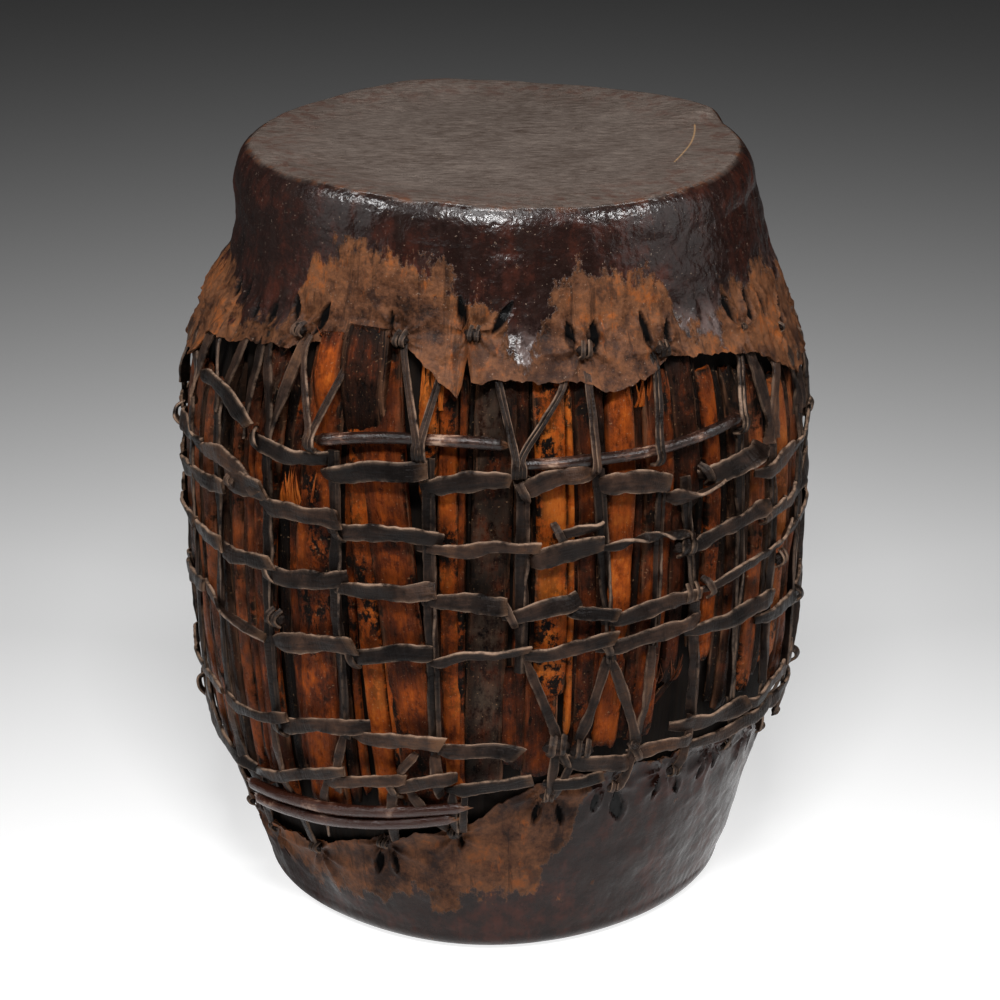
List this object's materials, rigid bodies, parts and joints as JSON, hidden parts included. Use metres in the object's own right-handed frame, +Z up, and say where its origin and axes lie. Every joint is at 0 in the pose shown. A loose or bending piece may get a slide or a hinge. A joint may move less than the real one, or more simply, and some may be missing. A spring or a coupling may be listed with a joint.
{
  "type": "laced barrel drum",
  "caption": "Standing barrel drum: hollow wooden shell, rawhide head laced over each end, leather lacing and wooden wedges driven in round the belly.",
  "frame": {"origin": "centre of the underside, where the lower head stands on the floor", "axes": "+Z up along the drum, -Y towards the pictured side, +X to its right"},
  "size_m": [0.407, 0.407, 0.485],
  "materials": {
    "shell_wood": "dark, rough, hidden",
    "hide": "satin rawhide, dark with brown worn patches",
    "thong": "satin leather, dark grey brown",
    "cane": "worn satin",
    "wedge_wood": "polished by handling, dirty"
  },
  "bodies": {
    "root": {"drum_shell": "shell_wood", "top_head_hide": "hide", "bottom_head_hide": "hide", "lacing_thong": "thong", "lacing_course_1": "thong", "lacing_course_2": "thong", "lacing_course_3": "thong", "lacing_course_4": "thong", "lacing_course_5": "thong", "lacing_course_6": "thong", "upper_cane_1": "cane", "upper_cane_2": "cane", "upper_cane_3": "cane", "upper_cane_4": "cane", "lower_cane_1": "cane", "lower_cane_2": "cane", "lower_cane_3": "cane", "lower_cane_4": "cane", "wedge_01": "wedge_wood", "wedge_02": "wedge_wood", "wedge_03": "wedge_wood", "wedge_04": "wedge_wood", "wedge_05": "wedge_wood", "wedge_06": "wedge_wood", "wedge_07": "wedge_wood", "wedge_08": "wedge_wood", "wedge_09": "wedge_wood", "wedge_10": "wedge_wood", "wedge_11": "wedge_wood", "wedge_12": "wedge_wood", "wedge_13": "wedge_wood", "wedge_14": "wedge_wood", "wedge_15": "wedge_wood", "wedge_16": "wedge_wood", "wedge_17": "wedge_wood", "wedge_18": "wedge_wood", "wedge_19": "wedge_wood", "wedge_20": "wedge_wood", "wedge_21": "wedge_wood", "wedge_22": "wedge_wood", "wedge_23": "wedge_wood", "wedge_24": "wedge_wood", "wedge_25": "wedge_wood", "wedge_26": "wedge_wood", "wedge_27": "wedge_wood", "wedge_28": "wedge_wood", "wedge_29": "wedge_wood", "wedge_30": "wedge_wood", "wedge_31": "wedge_wood", "wedge_32": "wedge_wood", "wedge_33": "wedge_wood", "wedge_34": "wedge_wood", "wedge_35": "wedge_wood", "wedge_36": "wedge_wood", "wedge_37": "wedge_wood", "wedge_38": "wedge_wood", "wedge_39": "wedge_wood", "wedge_40": "wedge_wood", "wedge_41": "wedge_wood", "wedge_42": "wedge_wood"}
  },
  "joints": []
}
